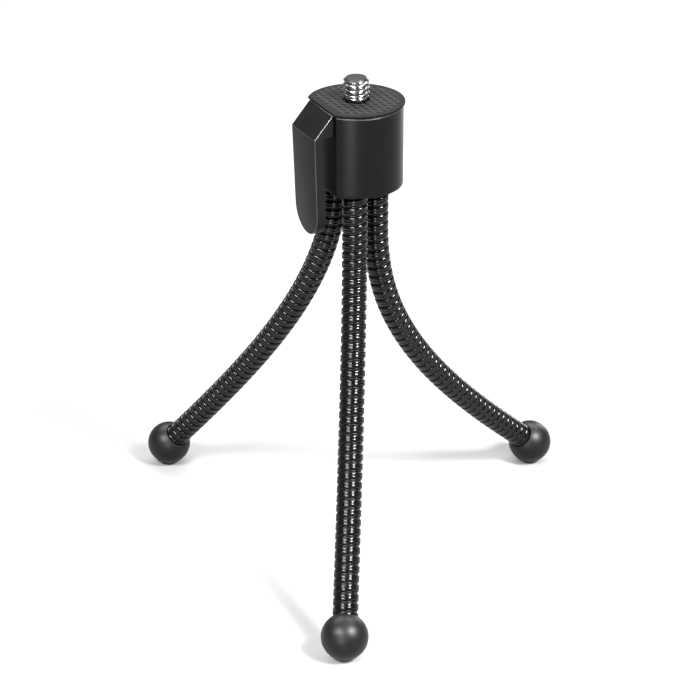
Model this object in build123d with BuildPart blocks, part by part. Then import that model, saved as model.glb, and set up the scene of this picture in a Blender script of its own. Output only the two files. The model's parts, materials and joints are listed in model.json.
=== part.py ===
from build123d import *
from math import acos, cos, degrees, exp, radians, sin, sqrt, tan
import os

os.makedirs("parts", exist_ok=True)

# Pocket tripod: a short round head with a camera screw, a rubber pad and a pocket clip, standing on
# three flexible gooseneck legs with ball feet. Millimetres, +Z up. The feet rest on Z = 0 and the
# origin is the middle of their footprint. A heading is an angle on the ground, in degrees, turned
# from -Y (the front) towards +X.

# Head
HEAD_RADIUS = 11.5
HEAD_BOTTOM = 97.4
HEAD_TOP = 118.0
HEAD_FLAT = 8.9  # from the axis to the flat behind the clip
RIM_CHAMFER = 0.3
BASE_ROUND = 0.15

# Rubber pad
PAD_RADIUS = 11.88
PAD_FLAT = 9.37
PAD_TOP = 118.7
PAD_ROUND = 0.2
PAD_HOLE_RADIUS = 3.3

# Camera screw, 1/4 inch - 20
SCREW_RADIUS = 3.175
SCREW_TIP = 124.3
SCREW_TIP_CHAMFER = 0.7
SCREW_NECK_RADIUS = 2.7
SCREW_NECK_TOP = 119.2
SCREW_COLLAR_RADIUS = 4.2
SCREW_COLLAR_HEIGHT = 1.0  # sunk in the clip's tongue
SCREW_SHANK_RADIUS = 3.0
SCREW_SHANK_BOTTOM = 108.6

# Pocket clip, held by the screw's collar
CLIP_HEADING = -64.1
CLIP_THICKNESS = 2.36
CLIP_BRIDGE_BOTTOM = 112.6
CLIP_SLOPE_END = (14.13, 112.4)  # from the axis, height
CLIP_LEAN = 1.9  # degrees, towards the head
CLIP_WIDTH = 12.9
CLIP_TIP_WIDTH = 12.4
CLIP_TIP = 86.3
TONGUE_REACH = 6.0  # past the axis

# Gooseneck legs
LEG_RADIUS = 3.15
LEG_BORE_RADIUS = 1.3
LEG_CIRCLE = 5.7  # radius of the circle that the legs leave the head on
LEG_SOCKET_DEPTH = 9.0
FOOT_RADIUS = 5.7
TURN_PITCH = 2.33
TURN_GROOVE_WIDTH = 0.45
TURN_GROOVE_DEPTH = 0.25
ROOT_PIN_LENGTH = 8.0
TIP_PIN_LENGTH = 9.0

# Each leg is cut into links that turn about joint centres on its centreline. A link's round cap
# turns in the socket of the link above. Every bend is shared evenly round its joint, so the first
# joint is half a spacing below the head.
LINK_COUNT = 8
JOINT_SPACING = 13.2
FIRST_JOINT = JOINT_SPACING / 2
CAP_RADIUS = 3.6
CAP_CLEARANCE = 0.15

# A leg hangs straight below the head and then eases towards its final lean.
BEND_EASE = 31.0
# leg name: heading where it leaves the head, heading that it bends towards, straight stretch below
# the head, and length along the leg from the head's underside to the middle of the foot
LEGS = {
    "front": (-3.0, -2.5, 10.7, 111.5),
    "left": (-120.0, -128.0, 0.0, 110.9),
    "right": (120.0, 130.6, 17.0, 113.0),
}

UP = Vector(0, 0, 1)


def heading_vector(heading):
    """The unit vector on the ground that points along a heading."""
    return Vector(sin(radians(heading)), -cos(radians(heading)), 0)


def link_lengths(leg_length):
    """Equal links, and a last one that reaches the middle of the foot."""
    equal = LINK_COUNT - 1
    return [JOINT_SPACING] * equal + [leg_length - FIRST_JOINT - equal * JOINT_SPACING]


def link_leans(straight, lengths, final_lean):
    """Each link's angle from vertical, in degrees, from how far down the leg its middle is."""
    leans = []
    distance = FIRST_JOINT
    for length in lengths:
        bent = max(distance + length / 2 - straight, 0)
        leans.append(final_lean * (1 - exp(-bent / BEND_EASE)))
        distance += length
    return leans


def settled_leans(straight, lengths):
    """The link leans that put the foot on the ground, found by halving the final lean's range."""
    target = HEAD_BOTTOM - FIRST_JOINT - FOOT_RADIUS
    low = 0.0
    high = 90.0
    for _ in range(50):
        middle = (low + high) / 2
        leans = link_leans(straight, lengths, middle)
        drop = sum(length * cos(radians(lean)) for length, lean in zip(lengths, leans))
        if drop > target:
            low = middle
        else:
            high = middle
    return leans


def leg_points(name):
    """The leg's joint centres and, last, the middle of its foot, with the head's axis at X = Y = 0."""
    exit_heading, bend_heading, straight, leg_length = LEGS[name]
    outward = heading_vector(bend_heading)
    lengths = link_lengths(leg_length)
    points = [heading_vector(exit_heading) * LEG_CIRCLE + UP * (HEAD_BOTTOM - FIRST_JOINT)]
    for length, lean in zip(lengths, settled_leans(straight, lengths)):
        step = outward * sin(radians(lean)) - UP * cos(radians(lean))
        points.append(points[-1] + step * length)
    return points


feet = [leg_points(name)[-1] for name in LEGS]
head_axis = Vector(
    -(min(foot.X for foot in feet) + max(foot.X for foot in feet)) / 2,
    -(min(foot.Y for foot in feet) + max(foot.Y for foot in feet)) / 2,
    0,
)
clip_outward = heading_vector(CLIP_HEADING)
clip_side = Plane(origin=head_axis, x_dir=clip_outward, z_dir=clip_outward.cross(UP))
clip_front = Plane(origin=head_axis, x_dir=UP.cross(clip_outward), z_dir=clip_outward)


def head_level(height):
    """The plane across the head's axis at a height, with its X axis through the clip."""
    return Plane(origin=head_axis + UP * height, x_dir=clip_outward, z_dir=UP)


def save(piece, name):
    """Label a finished piece and write its STEP file."""
    piece.part.label = name
    export_step(piece.part, f"parts/{name}.step")


# Clip: a tongue under the pad, a bridge with a sloped top, and a blade down the head's flat
with BuildPart() as clip:
    tongue_bottom = HEAD_TOP - CLIP_THICKNESS
    slope_end_x, slope_end_z = CLIP_SLOPE_END
    blade_inner_x = slope_end_x - CLIP_THICKNESS
    tip_x = slope_end_x - (slope_end_z - CLIP_TIP) * tan(radians(CLIP_LEAN))
    with BuildSketch(clip_side):
        Polygon(
            (-TONGUE_REACH, HEAD_TOP),
            (PAD_FLAT, HEAD_TOP),
            CLIP_SLOPE_END,
            (tip_x, CLIP_TIP),
            (tip_x - CLIP_THICKNESS, CLIP_TIP),
            (blade_inner_x, CLIP_BRIDGE_BOTTOM),
            (HEAD_FLAT, CLIP_BRIDGE_BOTTOM),
            (HEAD_FLAT, tongue_bottom),
            (-TONGUE_REACH, tongue_bottom),
            align=None,
        )
    extrude(amount=CLIP_WIDTH / 2, both=True)
    with BuildSketch(clip_front):
        tip_radius = CLIP_TIP_WIDTH / 2
        with BuildLine():
            Polyline(
                (-tip_radius, CLIP_TIP + tip_radius),
                (-CLIP_WIDTH / 2, CLIP_SLOPE_END[1]),
                (-CLIP_WIDTH / 2, HEAD_TOP),
                (CLIP_WIDTH / 2, HEAD_TOP),
                (CLIP_WIDTH / 2, CLIP_SLOPE_END[1]),
                (tip_radius, CLIP_TIP + tip_radius),
            )
            CenterArc((0, CLIP_TIP + tip_radius), tip_radius, 0, -180)
        make_face()
    extrude(amount=2 * HEAD_RADIUS, both=True, mode=Mode.INTERSECT)
    with BuildSketch(head_level(tongue_bottom)):
        Circle(SCREW_SHANK_RADIUS)
    extrude(amount=CLIP_THICKNESS, mode=Mode.SUBTRACT)
    with BuildSketch(head_level(HEAD_TOP - SCREW_COLLAR_HEIGHT)):
        Circle(SCREW_COLLAR_RADIUS)
    extrude(amount=SCREW_COLLAR_HEIGHT, mode=Mode.SUBTRACT)
save(clip, "clip")

# Head: a round bar with a flat, a slot for the clip's tongue, and bores for the screw and the legs
with BuildPart() as head_body:
    with BuildSketch(head_level(HEAD_BOTTOM)):
        Circle(HEAD_RADIUS)
        with Locations((HEAD_FLAT + HEAD_RADIUS, 0)):
            Rectangle(2 * HEAD_RADIUS, 2 * HEAD_RADIUS, mode=Mode.SUBTRACT)
    extrude(amount=HEAD_TOP - HEAD_BOTTOM)
    chamfer(head_body.faces().sort_by(Axis.Z)[-1].edges(), RIM_CHAMFER)
    fillet(head_body.faces().sort_by(Axis.Z)[0].edges(), BASE_ROUND)
    with BuildSketch(head_level(HEAD_TOP - CLIP_THICKNESS)):
        with Locations((-TONGUE_REACH, 0)):
            Rectangle(
                TONGUE_REACH + 2 * HEAD_RADIUS,
                CLIP_WIDTH,
                align=(Align.MIN, Align.CENTER),
            )
    extrude(amount=CLIP_THICKNESS, mode=Mode.SUBTRACT)
    with BuildSketch(head_level(SCREW_SHANK_BOTTOM)):
        Circle(SCREW_SHANK_RADIUS)
    extrude(amount=HEAD_TOP - SCREW_SHANK_BOTTOM, mode=Mode.SUBTRACT)
    with BuildSketch(Plane(origin=head_axis + UP * HEAD_BOTTOM, x_dir=(0, -1, 0), z_dir=UP)):
        for exit_heading, _, _, _ in LEGS.values():
            exit_x = LEG_CIRCLE * cos(radians(exit_heading))
            exit_y = LEG_CIRCLE * sin(radians(exit_heading))
            with Locations((exit_x, exit_y)):
                Circle(LEG_RADIUS)
    extrude(amount=LEG_SOCKET_DEPTH, mode=Mode.SUBTRACT)
save(head_body, "head_body")

# Pad: rubber disc that overhangs the metal a little
with BuildPart() as camera_pad:
    with BuildSketch(head_level(HEAD_TOP)):
        Circle(PAD_RADIUS)
        with Locations((PAD_FLAT + PAD_RADIUS, 0)):
            Rectangle(2 * PAD_RADIUS, 2 * PAD_RADIUS, mode=Mode.SUBTRACT)
    extrude(amount=PAD_TOP - HEAD_TOP)
    fillet(camera_pad.faces().sort_by(Axis.Z)[-1].edges(), PAD_ROUND)
    with BuildSketch(head_level(HEAD_TOP)):
        Circle(PAD_HOLE_RADIUS)
    extrude(amount=PAD_TOP - HEAD_TOP, mode=Mode.SUBTRACT)
save(camera_pad, "camera_pad")

# Camera screw: a stud with a shank in the head, a collar on the clip's tongue and a threaded end
with BuildPart() as camera_screw:
    with BuildSketch(clip_side):
        Polygon(
            (0, SCREW_SHANK_BOTTOM),
            (SCREW_SHANK_RADIUS, SCREW_SHANK_BOTTOM),
            (SCREW_SHANK_RADIUS, HEAD_TOP - SCREW_COLLAR_HEIGHT),
            (SCREW_COLLAR_RADIUS, HEAD_TOP - SCREW_COLLAR_HEIGHT),
            (SCREW_COLLAR_RADIUS, HEAD_TOP),
            (SCREW_NECK_RADIUS, HEAD_TOP),
            (SCREW_NECK_RADIUS, SCREW_NECK_TOP),
            (SCREW_RADIUS, SCREW_NECK_TOP + SCREW_RADIUS - SCREW_NECK_RADIUS),
            (SCREW_RADIUS, SCREW_TIP - SCREW_TIP_CHAMFER),
            (SCREW_RADIUS - SCREW_TIP_CHAMFER, SCREW_TIP),
            (0, SCREW_TIP),
            align=None,
        )
    revolve(axis=Axis(head_axis, UP))
save(camera_screw, "camera_screw")


def leg_plane(joint_centre, upward, outward):
    """A plane along the leg through a joint centre: X is across the leg and Y is up along it."""
    across = outward.cross(UP)
    return Plane(origin=joint_centre, x_dir=across, z_dir=across.cross(upward))


def gooseneck(plane, top, bottom, capped, socketed):
    """A stretch of gooseneck from top to bottom on the plane's Y axis, with its turns as grooves.

    A capped stretch has its round cap centred on Y = 0, and a socketed one has its socket centred on
    Y = bottom.
    """
    axis = Axis(plane.origin, plane.y_dir)
    socket_radius = CAP_RADIUS + CAP_CLEARANCE
    cap_rise = sqrt(CAP_RADIUS**2 - LEG_RADIUS**2)
    socket_rise = sqrt(socket_radius**2 - LEG_RADIUS**2)
    wall_top = cap_rise if capped else top
    wall_bottom = bottom + socket_rise if socketed else bottom
    inner_top = sqrt(CAP_RADIUS**2 - LEG_BORE_RADIUS**2) if capped else top
    inner_bottom = bottom + sqrt(socket_radius**2 - LEG_BORE_RADIUS**2) if socketed else bottom
    with BuildPart() as stretch:
        with BuildSketch(plane):
            with BuildLine():
                Line((LEG_RADIUS, wall_bottom), (LEG_RADIUS, wall_top))
                if capped:
                    start = degrees(acos(LEG_RADIUS / CAP_RADIUS))
                    end = degrees(acos(LEG_BORE_RADIUS / CAP_RADIUS))
                    CenterArc((0, 0), CAP_RADIUS, start, end - start)
                else:
                    Line((LEG_RADIUS, top), (LEG_BORE_RADIUS, top))
                Line((LEG_BORE_RADIUS, inner_top), (LEG_BORE_RADIUS, inner_bottom))
                if socketed:
                    start = degrees(acos(LEG_BORE_RADIUS / socket_radius))
                    end = degrees(acos(LEG_RADIUS / socket_radius))
                    CenterArc((0, bottom), socket_radius, start, end - start)
                else:
                    Line((LEG_BORE_RADIUS, bottom), (LEG_RADIUS, bottom))
            make_face()
        revolve(axis=axis)
        turns = int((wall_top - wall_bottom) / TURN_PITCH)
        with BuildSketch(plane):
            for turn in range(turns):
                groove = wall_bottom + (turn + 0.5) * TURN_PITCH
                with Locations((LEG_RADIUS, groove)):
                    Rectangle(2 * TURN_GROOVE_DEPTH, TURN_GROOVE_WIDTH)
        revolve(axis=axis, mode=Mode.SUBTRACT)
    return stretch


def pin(plane, bottom, length):
    """A steel pin that fills the gooseneck's bore, from bottom upwards along the plane's Y axis."""
    with BuildPart() as piece:
        with BuildSketch(plane):
            with Locations((0, bottom)):
                Rectangle(LEG_BORE_RADIUS, length, align=(Align.MIN, Align.MIN))
        revolve(axis=Axis(plane.origin, plane.y_dir))
    return piece


for leg_name, (_, bend_heading, _, leg_length) in LEGS.items():
    outward = heading_vector(bend_heading)
    points = [head_axis + point for point in leg_points(leg_name)]

    # Root: the leg's upper end, fixed in the head's bore round a pin
    root_plane = leg_plane(points[0], UP, outward)
    root_top = FIRST_JOINT + LEG_SOCKET_DEPTH
    save(gooseneck(root_plane, root_top, 0, False, True), f"leg_{leg_name}_root")
    save(pin(root_plane, root_top - ROOT_PIN_LENGTH, ROOT_PIN_LENGTH), f"leg_{leg_name}_root_pin")

    # Links, numbered from the head down
    for number in range(LINK_COUNT):
        upward = (points[number] - points[number + 1]).normalized()
        link_plane = leg_plane(points[number], upward, outward)
        length = link_lengths(leg_length)[number]
        is_last = number == LINK_COUNT - 1
        link = gooseneck(link_plane, 0, -length, True, not is_last)
        save(link, f"leg_{leg_name}_link_{number + 1}")

    # Foot: a ball round the end of the last link, which holds a pin
    save(pin(link_plane, -length, TIP_PIN_LENGTH), f"leg_{leg_name}_tip_pin")
    foot_plane = leg_plane(points[-1], upward, outward)
    with BuildPart() as foot:
        with BuildSketch(foot_plane):
            with BuildLine():
                CenterArc((0, 0), FOOT_RADIUS, -90, 180)
                Line((0, FOOT_RADIUS), (0, -FOOT_RADIUS))
            make_face()
            Rectangle(LEG_RADIUS, FOOT_RADIUS, align=(Align.MIN, Align.MIN), mode=Mode.SUBTRACT)
        revolve(axis=Axis(foot_plane.origin, foot_plane.y_dir))
    save(foot, f"leg_{leg_name}_foot")
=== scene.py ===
import json
import math

import bmesh
import bpy
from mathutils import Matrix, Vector


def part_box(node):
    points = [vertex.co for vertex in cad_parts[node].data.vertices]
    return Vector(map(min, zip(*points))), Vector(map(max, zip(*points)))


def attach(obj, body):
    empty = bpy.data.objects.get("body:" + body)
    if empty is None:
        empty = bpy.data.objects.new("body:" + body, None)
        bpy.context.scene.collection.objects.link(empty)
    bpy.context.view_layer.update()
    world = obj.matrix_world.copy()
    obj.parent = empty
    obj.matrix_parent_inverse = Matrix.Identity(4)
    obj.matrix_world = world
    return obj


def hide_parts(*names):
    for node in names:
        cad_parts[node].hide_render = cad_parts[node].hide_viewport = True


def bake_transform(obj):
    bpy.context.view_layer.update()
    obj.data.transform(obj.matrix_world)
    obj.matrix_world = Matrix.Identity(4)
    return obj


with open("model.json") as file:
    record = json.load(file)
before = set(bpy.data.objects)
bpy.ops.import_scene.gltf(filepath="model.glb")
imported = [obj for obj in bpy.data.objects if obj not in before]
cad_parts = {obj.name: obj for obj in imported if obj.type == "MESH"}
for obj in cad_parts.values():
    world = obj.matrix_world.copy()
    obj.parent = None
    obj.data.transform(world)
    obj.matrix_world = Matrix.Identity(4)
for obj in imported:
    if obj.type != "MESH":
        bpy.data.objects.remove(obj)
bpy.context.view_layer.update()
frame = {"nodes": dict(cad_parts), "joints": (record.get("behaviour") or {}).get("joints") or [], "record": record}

MM = 0.001

# ---------------------------------------------------------------- the frame
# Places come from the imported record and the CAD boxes, in metres.
UP = Vector((0, 0, 1))
MOUNTS = {mount["name"]: Vector(mount["pos_m"]) for mount in frame["record"]["mounts"]}
AXIS = Vector((MOUNTS["camera_screw"].x, MOUNTS["camera_screw"].y, 0))  # the head's, on the floor
OUT = (Vector((MOUNTS["pocket_clip"].x, MOUNTS["pocket_clip"].y, 0)) - AXIS).normalized()
SIDE = UP.cross(OUT)  # OUT points from the axis towards the clip, and SIDE across it
HEAD_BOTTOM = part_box("head_body")[0].z
HEAD_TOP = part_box("camera_pad")[0].z
PAD_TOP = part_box("camera_pad")[1].z
SCREW_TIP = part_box("camera_screw")[1].z
CLIP_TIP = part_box("clip")[0].z

HEAD_RADIUS = 11.5 * MM
HEAD_FLAT = 8.9 * MM  # from the axis to the flat behind the clip
PAD_RADIUS = 11.88 * MM
PAD_FLAT = 9.37 * MM
LEG_NAMES = ("front", "left", "right")
JOINTS = {name: [joint for joint in frame["joints"] if joint["name"].startswith(f"leg_{name}_")]
          for name in LEG_NAMES}


def head_point(out, side, height):
    """A point from its distance towards the clip, its distance across, and its height."""
    return AXIS + OUT * out + SIDE * side + UP * height


def leg_exit(name):
    """The middle of a leg where it leaves the head's underside."""
    first = JOINTS[name][0]["pos_m"]
    return Vector((first[0], first[1], HEAD_BOTTOM))


# ---------------------------------------------------------------- mesh helpers
def full_turn(count):
    """Evenly spaced angles round a full turn, in radians."""
    return [2 * math.pi * i / count for i in range(count)]


def spoke(angle):
    """The level direction at an angle, in radians."""
    return Vector((math.cos(angle), math.sin(angle), 0))


def arc(centre, radius, start, end, count):
    """Points of an arc, with angles in degrees."""
    points = []
    for i in range(count + 1):
        angle = math.radians(start + (end - start) * i / count)
        points.append((centre[0] + radius * math.cos(angle), centre[1] + radius * math.sin(angle)))
    return points


def flatted_circle(radius, flat, corner, count):
    """The outline of a circle cut off at x = flat, with rounded corners: (x, y) points."""
    # A corner arc touches the flat and the circle from inside.
    corner_x = flat - corner
    corner_y = math.sqrt((radius - corner) ** 2 - corner_x ** 2)
    meets = math.degrees(math.atan2(corner_y, corner_x))
    outline = arc((0, 0), radius, meets, 360 - meets, count)
    outline += arc((corner_x, -corner_y), corner, -meets, 0, 6)[1:]
    outline += arc((corner_x, corner_y), corner, 0, meets, 6)[:-1]
    return outline


def ring_faces(rings, count, closed_ends=True):
    """Quads between rings of count points each, with a face over each end."""
    faces = []
    for ring in range(rings - 1):
        for i in range(count):
            here = ring * count + i
            along = ring * count + (i + 1) % count
            faces.append((here, along, along + count, here + count))
    if closed_ends:
        faces.append(tuple(reversed(range(count))))
        faces.append(tuple(range((rings - 1) * count, rings * count)))
    return faces


def shade(work, angle):
    """Smooth faces, with sharp edges where they turn by more than the angle, in degrees."""
    for face in work.faces:
        face.smooth = True
    for edge in work.edges:
        edge.smooth = len(edge.link_faces) == 2 and edge.calc_face_angle() < math.radians(angle)


def add_object(name, data):
    """A new object in the scene, at the origin."""
    piece = bpy.data.objects.new(name, data)
    bpy.context.scene.collection.objects.link(piece)
    return piece


def object_from_bmesh(name, work, smooth_angle):
    """A shaded mesh object from a bmesh, which is freed."""
    shade(work, smooth_angle)
    mesh = bpy.data.meshes.new(name)
    work.to_mesh(mesh)
    work.free()
    return add_object(name, mesh)


def bmesh_from_points(name, points, faces):
    """A bmesh from points and faces."""
    mesh = bpy.data.meshes.new(f"{name}_points")
    mesh.from_pydata([tuple(point) for point in points], [], faces)
    mesh.validate()
    work = bmesh.new()
    work.from_mesh(mesh)
    bpy.data.meshes.remove(mesh)
    return work


def object_from_points(name, points, faces, smooth_angle):
    """A shaded mesh object from points and faces, with its faces turned outwards."""
    work = bmesh_from_points(name, points, faces)
    bmesh.ops.recalc_face_normals(work, faces=work.faces)
    return object_from_bmesh(name, work, smooth_angle)


def lathe(name, centre, axis, profile, count, smooth_angle):
    """A solid turned about an axis from a profile of (radius, distance along) points."""
    axis = axis.normalized()
    across = axis.orthogonal().normalized()
    around = axis.cross(across)
    points = []
    for radius, along in profile:
        for angle in full_turn(count):
            turned = across * math.cos(angle) + around * math.sin(angle)
            points.append(centre + axis * along + turned * radius)
    return object_from_points(name, points, ring_faces(len(profile), count), smooth_angle)


# ---------------------------------------------------------------- materials
def new_material(name):
    """A node material: the material, its node tree and its shader."""
    material = bpy.data.materials.new(name)
    material.use_nodes = True
    tree = material.node_tree
    return material, tree, tree.nodes["Principled BSDF"]


def add_node(tree, kind, **inputs):
    """A node with its inputs set: an underscore in a key stands for a space."""
    node = tree.nodes.new(kind)
    for key, value in inputs.items():
        node.inputs[key.replace("_", " ")].default_value = value
    return node


def object_position(tree, scale=(1, 1, 1)):
    """Object coordinates, scaled, so a pattern sits on the piece."""
    place = tree.nodes.new("ShaderNodeTexCoord")
    mapping = add_node(tree, "ShaderNodeMapping", Scale=scale)
    tree.links.new(place.outputs["Object"], mapping.inputs["Vector"])
    return mapping.outputs["Vector"]


def noise(tree, vector, scale, detail, roughness=0.5):
    """Noise from 0 to 1, with scale cells a metre."""
    node = add_node(tree, "ShaderNodeTexNoise", Scale=scale, Detail=detail, Roughness=roughness)
    tree.links.new(vector, node.inputs["Vector"])
    return node.outputs["Fac"]


def ramp(tree, value, dark, light, low=0.3, high=0.7):
    """A colour that turns from dark to light as the value goes from low to high."""
    node = tree.nodes.new("ShaderNodeValToRGB")
    node.color_ramp.elements[0].position = low
    node.color_ramp.elements[0].color = (*dark, 1)
    node.color_ramp.elements[1].position = high
    node.color_ramp.elements[1].color = (*light, 1)
    tree.links.new(value, node.inputs["Fac"])
    return node.outputs["Color"]


def clouded(tree, shader, dark, light, scale, detail=2.0):
    """An uneven base colour between two shades."""
    clouds = noise(tree, object_position(tree), scale, detail)
    tree.links.new(ramp(tree, clouds, dark, light), shader.inputs["Base Color"])


def set_surface(tree, shader, pattern, roughness, strength, distance):
    """Roughness between two values, and relief of a distance in metres, from one pattern."""
    spread = add_node(tree, "ShaderNodeMapRange", To_Min=roughness[0], To_Max=roughness[1])
    tree.links.new(pattern, spread.inputs["Value"])
    tree.links.new(spread.outputs["Result"], shader.inputs["Roughness"])
    relief = add_node(tree, "ShaderNodeBump", Strength=strength, Distance=distance)
    tree.links.new(pattern, relief.inputs["Height"])
    tree.links.new(relief.outputs["Normal"], shader.inputs["Normal"])


def anodised(name, dark, light, grain, roughness, shine):
    """Dark anodised aluminium, with a fine grain that the three scales stretch along the tool's path."""
    material, tree, shader = new_material(name)
    clouded(tree, shader, dark, light, scale=180.0)
    lines = noise(tree, object_position(tree, grain), scale=1.0, detail=2.0)
    set_surface(tree, shader, lines, roughness, strength=0.10, distance=0.03 * MM)
    shader.inputs["Specular IOR Level"].default_value = shine
    return material


def plated(name, dark, light, roughness):
    """Bare or plated metal, with fine turning marks round Z and a little tarnish."""
    material, tree, shader = new_material(name)
    clouded(tree, shader, dark, light, scale=700.0, detail=3.0)
    turning = noise(tree, object_position(tree, (60, 60, 9000)), scale=1.0, detail=2.0)
    set_surface(tree, shader, turning, roughness, strength=0.10, distance=0.02 * MM)
    shader.inputs["Metallic"].default_value = 1.0
    return material


def black_wire(name, dark, light, roughness):
    """Glossy black wire with slight draw marks."""
    material, tree, shader = new_material(name)
    clouded(tree, shader, dark, light, scale=220.0)
    marks = noise(tree, object_position(tree), scale=900.0, detail=3.0)
    set_surface(tree, shader, marks, roughness, strength=0.01, distance=0.02 * MM)
    shader.inputs["Specular IOR Level"].default_value = 0.20
    return material


def rubber(name, roughness, speckle, strength, shine):
    """Moulded rubber with a faint matte speckle: the material, its node tree and its shader."""
    material, tree, shader = new_material(name)
    fine = noise(tree, object_position(tree), scale=speckle, detail=4.0, roughness=0.6)
    set_surface(tree, shader, fine, roughness, strength, distance=0.03 * MM)
    shader.inputs["Specular IOR Level"].default_value = shine
    return material, tree, shader


def ball_rubber():
    """The feet's smooth rubber, with a soft unevenness of shade."""
    material, tree, shader = rubber("foot_rubber", roughness=(0.40, 0.47), speckle=4000.0,
                                    strength=0.05, shine=0.19)
    clouded(tree, shader, (0.0010, 0.0010, 0.0011), (0.0018, 0.0018, 0.0019), scale=160.0)
    return material


def ridged_rubber():
    """The pad's rubber, with painted shade: dark where it is low, in the dimples and on the border, and greyer on
    the ridge tops.
    """
    material, tree, shader = rubber("pad_rubber", roughness=(0.60, 0.75), speckle=5000.0,
                                    strength=0.25, shine=0.08)
    place = tree.nodes.new("ShaderNodeSeparateXYZ")
    tree.links.new(object_position(tree), place.inputs["Vector"])
    # Painted shade: the base colour darkens with depth below the pad's top, so the dimples and the low border look
    # shaded.
    height = add_node(tree, "ShaderNodeMapRange", From_Min=PAD_TOP - 0.17 * MM, From_Max=PAD_TOP)
    tree.links.new(place.outputs["Z"], height.inputs["Value"])
    colour = ramp(tree, height.outputs["Result"], (0.0008, 0.0008, 0.0008), (0.011, 0.011, 0.011),
                  low=0.0, high=1.0)
    tree.links.new(colour, shader.inputs["Base Color"])
    return material


HEAD_METAL = anodised("head_anodised", (0.0008, 0.0008, 0.0009), (0.0013, 0.0013, 0.0014),
                      grain=(40, 40, 12000), roughness=(0.30, 0.38), shine=0.10)
CLIP_METAL = anodised("clip_anodised", (0.0030, 0.0030, 0.0032), (0.0040, 0.0040, 0.0042),
                      grain=(9000, 9000, 60), roughness=(0.38, 0.46), shine=0.06)
CUT_EDGE = plated("cut_edge", (0.055, 0.055, 0.057), (0.08, 0.08, 0.082), (0.30, 0.42))
NICKEL = plated("nickel_plate", (0.19, 0.187, 0.183), (0.26, 0.256, 0.252), (0.16, 0.26))
PIN_STEEL = plated("pin_steel", (0.40, 0.40, 0.41), (0.48, 0.48, 0.49), (0.30, 0.45))
WIDE_WIRE = black_wire("wide_wire_black", (0.0008, 0.0008, 0.0009), (0.0013, 0.0013, 0.0014),
                       (0.13, 0.17))
NARROW_WIRE = black_wire("narrow_wire_black", (0.0008, 0.0008, 0.0008), (0.0013, 0.0013, 0.0013),
                         (0.30, 0.40))
FOOT_RUBBER = ball_rubber()
PAD_RUBBER = ridged_rubber()


def finish_piece(piece, slot, materials, *nodes):
    """Give a piece its materials, and hide the CAD nodes that it stands for: the slot is not used."""
    for material in materials:
        piece.data.materials.append(material)
    if nodes:
        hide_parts(*nodes)


# ---------------------------------------------------------------- head
def add_leg_hole(work, name):
    """A leg's hole with an eased mouth, a wall and a floor. Returns the mouth's edges."""
    radius, ease, depth, around = 3.3 * MM, 0.15 * MM, 4.0 * MM, 48
    loops = []
    for reach, rise in ((radius + ease, 0), (radius, ease), (radius, depth)):
        loops.append([work.verts.new(leg_exit(name) + spoke(angle) * reach + UP * rise)
                      for angle in full_turn(around)])
    for low, high in zip(loops, loops[1:]):
        for i in range(around):
            j = (i + 1) % around
            work.faces.new((low[i], low[j], high[j], high[i]))
    work.faces.new(loops[-1])
    mouth = loops[0]
    return [work.edges.get((mouth[i], mouth[(i + 1) % around])) for i in range(around)]


def make_head():
    """A bar with a flat, a bright cut band at its top rim, an eased base and three leg holes."""
    chamfer, base, corner = 0.30 * MM, 0.15 * MM, 0.30 * MM
    band, step = 0.55 * MM, 0.06 * MM  # the cut band's height, and its own eased edges
    levels = [(inset, HEAD_BOTTOM + rise) for inset, rise in arc((base, base), base, 270, 180, 6)]
    levels += [(0.0, HEAD_BOTTOM + rise * MM) for rise in (1, 5, 10, 15)]
    levels += [(0.0, HEAD_TOP - band), (step, HEAD_TOP - band + step), (step, HEAD_TOP - chamfer),
               (chamfer - step * 0.3, HEAD_TOP - step * 0.3), (chamfer + step, HEAD_TOP)]
    points = []
    for inset, height in levels:
        outline = flatted_circle(HEAD_RADIUS - inset, HEAD_FLAT - inset, corner, 180)
        points += [head_point(x, y, height) for x, y in outline]
    around = len(points) // len(levels)
    faces = ring_faces(len(levels), around, closed_ends=False)
    faces.append(tuple(range((len(levels) - 1) * around, len(points))))

    work = bmesh_from_points("head_shell", points, faces)
    open_edges = [edge for edge in work.edges if len(edge.link_faces) == 1]
    for name in LEG_NAMES:
        open_edges += add_leg_hole(work, name)
    bmesh.ops.triangle_fill(work, use_beauty=True, use_dissolve=False, edges=open_edges)
    bmesh.ops.recalc_face_normals(work, faces=work.faces)
    for face in work.faces:
        if HEAD_TOP - band < face.calc_center_median().z < HEAD_TOP - step * 0.2:
            face.material_index = 1
    return object_from_bmesh("head_shell", work, smooth_angle=25)


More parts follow.
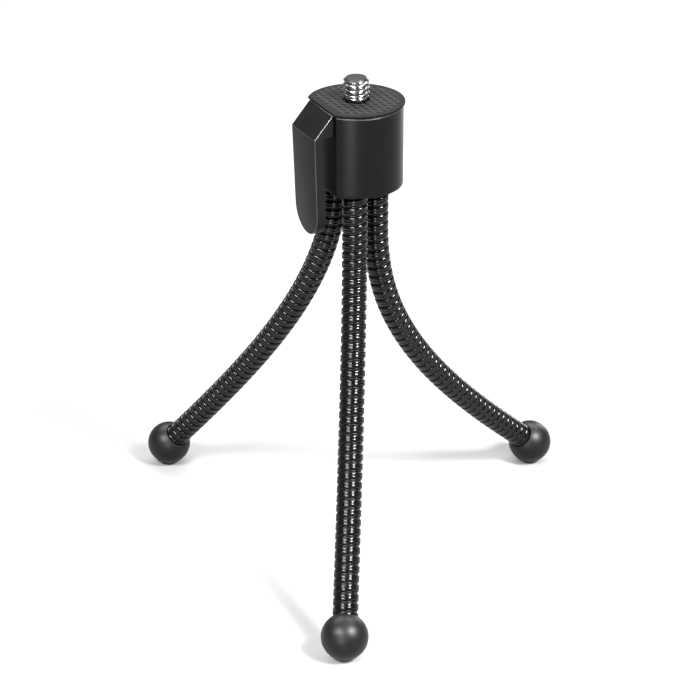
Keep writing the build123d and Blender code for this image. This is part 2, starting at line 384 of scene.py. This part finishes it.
# ---------------------------------------------------------------- pocket clip
def make_clip():
    """The clip: a bridge with a sloped top, and a leaning blade with a round end and eased edges."""
    thickness, bevel = 2.36 * MM, 0.16 * MM
    bridge_bottom = HEAD_TOP - 5.4 * MM
    slope_out, slope_height = 14.13 * MM, HEAD_TOP - 5.6 * MM  # where the slope meets the blade
    lean = math.tan(math.radians(1.9))
    half_top, half_tip = 6.45 * MM, 6.2 * MM
    gap = 0.03 * MM  # to the pad and the head

    tip_centre = CLIP_TIP + half_tip
    outline = [(half_top, slope_height)]
    outline += arc((0, tip_centre), half_tip, 0, -180, 30)
    outline += [(-half_top, slope_height)]
    work = bmesh.new()
    outer, inner = [], []
    for wall, inset in ((outer, 0), (inner, thickness)):
        for side, height in outline:
            out = slope_out - (slope_height - height) * lean - inset
            wall.append(work.verts.new(head_point(out, side, height)))
    bridge = ((PAD_FLAT, HEAD_TOP - gap), (HEAD_FLAT + gap, HEAD_TOP - gap),
              (HEAD_FLAT + gap, bridge_bottom), (slope_out - thickness, bridge_bottom))
    plus = [work.verts.new(head_point(out, half_top, height)) for out, height in bridge]
    minus = [work.verts.new(head_point(out, -half_top, height)) for out, height in bridge]

    work.faces.new(outer)
    for i in range(len(outline) - 1):
        work.faces.new((outer[i], outer[i + 1], inner[i + 1], inner[i]))
    work.faces.new((outer[0], plus[0], minus[0], outer[-1]))
    for i in range(len(bridge) - 1):
        work.faces.new((plus[i], plus[i + 1], minus[i + 1], minus[i]))
    work.faces.new(inner + [minus[3], plus[3]])
    work.faces.new([outer[0], inner[0], *reversed(plus)])
    work.faces.new([outer[-1], *minus, inner[-1]])
    bmesh.ops.recalc_face_normals(work, faces=work.faces)

    sharp = [edge for edge in work.edges if edge.calc_face_angle() > math.radians(20)]
    bmesh.ops.bevel(work, geom=sharp, offset=bevel, segments=3, profile=0.5, affect="EDGES",
                    clamp_overlap=True, material=1)
    # Only the outer edges stay bright: the inner ones take the clip's own finish.
    slope_run = (slope_out - PAD_FLAT) / (HEAD_TOP - slope_height)
    bright_depth = 0.5 * MM
    for face in work.faces:
        middle = face.calc_center_median()
        rise = middle.z - slope_height
        surface_out = slope_out - rise * slope_run if rise > 0 else slope_out + rise * lean
        if surface_out - (middle - AXIS).dot(OUT) > bright_depth:
            face.material_index = 0
    return object_from_bmesh("pocket_clip", work, smooth_angle=25)


# ---------------------------------------------------------------- camera pad
def pad_relief(x, y):
    """Height of the pad's crossed ridges, 0 in a dimple and 1 on a ridge."""
    spacing, crossing = 1.71 * MM, math.radians(52)
    ridge_width = 0.25  # as a share of the spacing
    dimple = 1.0
    for turned in (0, crossing):
        across = (x * math.cos(turned) + y * math.sin(turned)) / spacing
        away = abs(across - round(across))
        dimple *= 1 - math.exp(-((away / ridge_width) ** 2))
    return 1 - dimple


def pad_reach(inset, angle):
    """The distance from the axis to the pad's edge, which is flat beside the clip."""
    flat, radius = PAD_FLAT - inset, PAD_RADIUS - inset
    if math.cos(angle) > flat / radius:
        return flat / math.cos(angle)
    return radius


def make_pad():
    """A rubber disc with a smooth border, a raised field of crossed ridges, and a hole."""
    around, field = 540, 76  # points round the pad, and steps across its field
    thickness = PAD_TOP - HEAD_TOP
    edge, border, dimple, hole = 0.20 * MM, 1.3 * MM, 0.30 * MM, 3.3 * MM
    ease = 0.1 * MM
    rim = thickness - 0.14 * MM  # the border's height
    fade_steps = 3  # from the border up to the field

    border_rings = [(ease, 0.0), (0.0, ease), (0.0, thickness * 0.4)]
    border_rings += [(inset, rim - edge + rise) for inset, rise in arc((edge, 0), edge, 180, 90, 5)]
    border_rings += [(border - ease, rim)]
    angles = full_turn(around)
    points = []
    for inset, height in border_rings:
        for angle in angles:
            reach = pad_reach(inset, angle)
            points.append(head_point(reach * math.cos(angle), reach * math.sin(angle),
                                     HEAD_TOP + height))
    for step in range(field + 1):
        share = step / field
        fade = min(1.0, step / fade_steps)
        for angle in angles:
            reach = pad_reach(border, angle) * (1 - share) + (hole + ease) * share
            x, y = reach * math.cos(angle), reach * math.sin(angle)
            raised = thickness - dimple * (1 - pad_relief(x, y))
            points.append(head_point(x, y, HEAD_TOP + rim + (raised - rim) * fade))
    for height in (rim - ease, 0.0):
        for angle in angles:
            points.append(head_point(hole * math.cos(angle), hole * math.sin(angle),
                                     HEAD_TOP + height))
    rings = len(points) // around
    faces = ring_faces(rings, around, closed_ends=False)
    last = (rings - 1) * around
    for i in range(around):
        j = (i + 1) % around
        faces.append((last + i, last + j, j, i))  # the underside, from the hole to the rim
    return object_from_points("camera_pad_relief", points, faces, smooth_angle=50)


# ---------------------------------------------------------------- camera screw
def make_screw():
    """The camera screw: a collar, a neck and a right-hand 1/4 inch - 20 thread with a chamfer."""
    pitch, major, root, neck = 1.27 * MM, 3.175 * MM, 2.5 * MM, 2.7 * MM
    collar, neck_top = 3.28 * MM, PAD_TOP + 0.5 * MM
    run_in, chamfer, around = 0.475 * MM, 0.7 * MM, 144
    crest_shape = 0.8  # below 1, the crests are broader than the roots
    ring_spacing, gap = 0.04 * MM, 0.03 * MM

    def thread_radius(height, angle):
        wave = math.cos(2 * math.pi * height / pitch - angle)
        return root + (major - root) * (0.5 + 0.5 * wave) ** crest_shape

    def radius(height, angle):
        if height < neck_top:
            return neck
        limit = min(neck + height - neck_top, major, major + SCREW_TIP - chamfer - height)
        blend = min((height - neck_top) / run_in, 1)
        return min(limit, neck * (1 - blend) + thread_radius(height, angle) * blend)

    floor = HEAD_TOP + gap
    steps = round((SCREW_TIP - neck_top) / ring_spacing)
    heights = [floor + gap, neck_top - 0.3 * MM]
    heights += [neck_top + (SCREW_TIP - neck_top) * i / steps for i in range(steps + 1)]
    angles = full_turn(around)
    rings = [[(collar, HEAD_TOP)] * around, [(collar, floor)] * around, [(neck, floor)] * around]
    rings += [[(radius(height, angle), height) for angle in angles] for height in heights]
    points = []
    for ring in rings:
        for angle, (reach, height) in zip(angles, ring):
            points.append(AXIS + UP * height + spoke(angle) * reach)
    faces = ring_faces(len(rings), around)
    return object_from_points("camera_screw_thread", points, faces, smooth_angle=30)


# ---------------------------------------------------------------- gooseneck legs
SPACING = 13.2 * MM  # between joints along a leg
PITCH = 2.33 * MM  # of the two wound wires
STEPS = 44  # sections of wire in one turn
START = -3.0 * MM  # the leg's upper end, inside the head's hole
TUCK = 1.2 * MM  # from the foot's middle up to the wires' lower end
MATCH = 0.75 * MM  # a stretch in from each end of a piece, where its end points are worked out


class Leg:
    """The leg's smooth centreline at rest, through its joints, in one upright plane."""

    def __init__(self, name):
        self.name = name
        self.joints = [Vector(joint["pos_m"]) for joint in JOINTS[name]]
        low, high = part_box(f"leg_{name}_foot")
        self.foot = (low + high) / 2
        self.ball_radius = (high.z - low.z) / 2
        self.last_link = (self.foot - self.joints[-1]).normalized()
        middles = [(a + b) / 2 for a, b in zip(self.joints, self.joints[1:])]
        end = self.joints[-1] + self.last_link * SPACING / 2
        self.knots = [leg_exit(name)] + middles + [end]
        self.bent_length = SPACING * len(self.joints)
        self.length = self.bent_length + (self.foot - end).length
        plan = self.foot - self.joints[0]
        self.across = Vector((plan.x, plan.y, 0)).normalized().cross(UP)

    def at(self, distance):
        """The point and the direction of the centreline at a distance below the head."""
        if distance <= 0:
            return self.knots[0] - UP * distance, -UP
        if distance >= self.bent_length:
            return self.knots[-1] + self.last_link * (distance - self.bent_length), self.last_link
        index = min(int(distance / SPACING), len(self.joints) - 1)
        t = distance / SPACING - index
        a, b, c = self.knots[index], self.joints[index], self.knots[index + 1]
        point = a * (1 - t) ** 2 + b * (2 * t * (1 - t)) + c * t ** 2
        return point, ((b - a) * (1 - t) + (c - b) * t).normalized()

    def around(self, distance, radius, angle):
        """A point at a radius and an angle about the centreline."""
        point, direction = self.at(distance)
        side = self.across.cross(direction)
        return point + (side * math.cos(angle) + direction.cross(side) * math.sin(angle)) * radius


def mirrored(half):
    """A closed wire section, in metres, from its half: (distance along the leg, radius) in mm."""
    other = [(-along, radius) for along, radius in reversed(half) if along > 0]
    return [(along * MM, radius * MM) for along, radius in other + half]


# The wide wire has two shallow crowns; the narrow one fills the groove between its turns.
WIDE = mirrored([(0, 3.055), (0.10, 3.094), (0.19, 3.124), (0.29, 3.143), (0.39, 3.148), (0.51, 3.134),
                 (0.66, 3.09), (0.80, 3.01), (0.91, 2.9), (0.98, 2.78), (0.96, 2.4), (0.7, 2.1)])
NARROW = mirrored([(0, 2.80), (0.10, 2.78), (0.17, 2.70), (0.21, 2.55), (0.24, 2.3), (0.15, 2.15)])


def make_wire(leg, name, section, lag, start, end):
    """A stretch of one wire, wound right-handed about the leg from start to end."""
    first = round(start / PITCH * STEPS)
    last = round(end / PITCH * STEPS)
    points = []
    for step in range(first, last + 1):
        angle = 2 * math.pi * (step % STEPS) / STEPS
        centre = PITCH * step / STEPS
        for along, radius in section:
            points.append(leg.around(centre + along + lag, radius, angle))
    faces = ring_faces(last - first + 1, len(section))
    return object_from_points(name, points, faces, smooth_angle=50)


def make_wires(leg, wire_name, section, lag, material, stands_for_links):
    """One wire in stretches from joint to joint: the last is attached to its link's body, and the others are left
    in place, unattached.
    """
    joint_count = len(leg.joints)
    bodies = ["head"] + [f"{leg.name}_link_{number}" for number in range(1, joint_count + 1)]
    for number, body in enumerate(bodies):
        is_last = number == joint_count
        start = SPACING * number if number else START
        end = leg.length - TUCK if is_last else SPACING * (number + 1)
        piece = make_wire(leg, f"leg_{leg.name}_{wire_name}_{number + 1}", section, lag, start, end)
        nodes = []
        if stands_for_links and number == 0:
            nodes.append(f"leg_{leg.name}_root")
        if stands_for_links and not is_last:
            nodes.append(f"leg_{leg.name}_link_{number + 1}")
        finish_piece(piece, "gooseneck", [material], *nodes)
        if is_last:
            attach(piece, body)
        else:
            top = leg.at(SPACING * number + MATCH)[0]
            bottom = leg.at(SPACING * (number + 1) - MATCH)[0]
            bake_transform(piece)


def make_foot(leg):
    """A rubber ball with a bore that the leg's end goes into, and an eased mouth."""
    ball = leg.ball_radius - 0.002 * MM
    bore, bore_floor, ease = 3.2 * MM, 0.4 * MM, 0.15 * MM
    mouth = math.degrees(math.acos((bore + ease) / ball))
    rim = ball * math.sin(math.radians(mouth))
    pole = -89.8  # just short of -90 degrees, where a ring would have no size
    profile = [(0.02 * MM, bore_floor), (bore, bore_floor), (bore, rim - ease * 1.2),
               (bore + ease * 0.35, rim - ease * 0.3)]
    profile += arc((0, 0), ball, mouth, pole, 60)
    piece = lathe(f"leg_{leg.name}_ball", leg.foot, -leg.last_link, profile, count=128,
                  smooth_angle=40)
    finish_piece(piece, "foot_rubber", [FOOT_RUBBER], f"leg_{leg.name}_foot")
    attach(piece, f"{leg.name}_link_{len(leg.joints)}")


# ---------------------------------------------------------------- the object
for make, slot, materials, node in (
        (make_head, "head_metal", [HEAD_METAL, CUT_EDGE], "head_body"),
        (make_clip, "clip_metal", [CLIP_METAL, CUT_EDGE], "clip"),
        (make_pad, "pad_rubber", [PAD_RUBBER], "camera_pad"),
        (make_screw, "screw_metal", [NICKEL], "camera_screw")):
    head_piece = make()
    finish_piece(head_piece, slot, materials, node)
    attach(head_piece, "head")

for leg_name in LEG_NAMES:
    gooseneck = Leg(leg_name)
    make_wires(gooseneck, "wide_wire", WIDE, 0.0, WIDE_WIRE, stands_for_links=True)
    make_wires(gooseneck, "narrow_wire", NARROW, PITCH / 2, NARROW_WIRE, stands_for_links=False)
    make_foot(gooseneck)
    for pin in ("root_pin", "tip_pin"):
        pin_node = frame["nodes"][f"leg_{leg_name}_{pin}"]
        pin_node.data.materials.clear()
        pin_node.data.materials.append(PIN_STEEL)


# ---------------------------------------------------------------- floor, light and camera
def make_floor():
    """A plain floor just under the feet, which the lamps light up to white round the tripod."""
    reach = 4.0
    mesh = bpy.data.meshes.new("floor")
    mesh.from_pydata([(-reach, -reach, 0), (reach, -reach, 0), (reach, reach, 0), (-reach, reach, 0)],
                     [], [(0, 1, 2, 3)])
    floor = add_object("floor", mesh)
    floor.location.z = -0.05 * MM
    material, tree, shader = new_material("floor_pale")
    clouded(tree, shader, (0.17, 0.17, 0.17), (0.19, 0.19, 0.19), scale=3.0)
    shader.inputs["Roughness"].default_value = 0.9
    shader.inputs["Specular IOR Level"].default_value = 0.1
    mesh.materials.append(material)


def softbox(name, place, target, width, height, power):
    """A rectangular lamp at a place, turned towards a target, in metres and watts."""
    light = bpy.data.lights.new(name, "AREA")
    light.shape = "RECTANGLE"
    light.size, light.size_y = width, height
    light.energy = power
    box = add_object(name, light)
    box.location = place
    box.rotation_euler = (target - place).to_track_quat("-Z", "Y").to_euler()


make_floor()
MIDDLE = AXIS + UP * 0.06  # half way up the tripod
HEAD_HEIGHT = AXIS + UP * 0.1
softbox("left", MIDDLE + Vector((-0.44, -0.60, 0.72)), MIDDLE, 0.50, 0.20, 34.0)
softbox("right", MIDDLE + Vector((0.56, -0.46, 0.70)), MIDDLE, 0.28, 0.24, 56.0)
softbox("top", MIDDLE + Vector((0.0, 0.5, 1.3)), MIDDLE, 1.8, 1.0, 22.0)
softbox("back", AXIS + Vector((0.0, 0.62, 0.85)), AXIS + Vector((0.0, 0.5, 0.0)), 1.3, 0.3, 20.0)
# The two low lamps put a soft band on the upright side of the head and a thin one at its right edge.
softbox("low_front", AXIS + Vector((-0.066, -0.29, 0.07)), HEAD_HEIGHT, 0.08, 0.10, 0.62)
softbox("low_right", AXIS + Vector((0.19, 0.30, 0.09)), HEAD_HEIGHT, 0.08, 0.16, 0.40)

world = bpy.data.worlds.new("studio")
world.use_nodes = True
world.node_tree.nodes["Background"].inputs["Color"].default_value = (1, 1, 1, 1)
world.node_tree.nodes["Background"].inputs["Strength"].default_value = 0.30
bpy.context.scene.world = world
bpy.context.scene.view_settings.view_transform = "Standard"

DOWNWARDS = 25.47  # the camera's tilt below level, in degrees
camera_data = bpy.data.cameras.new("camera")
camera_data.sensor_width = 36.0
camera_data.lens = 135.6
camera_data.clip_start, camera_data.clip_end = 0.01, 20.0
camera = add_object("camera", camera_data)
camera.location = AXIS + Vector((-1.462, -598.4, 336.9)) * MM
camera.rotation_euler = (math.radians(90 - DOWNWARDS), 0, 0)
bpy.context.scene.camera = camera

bpy.context.view_layer.update()
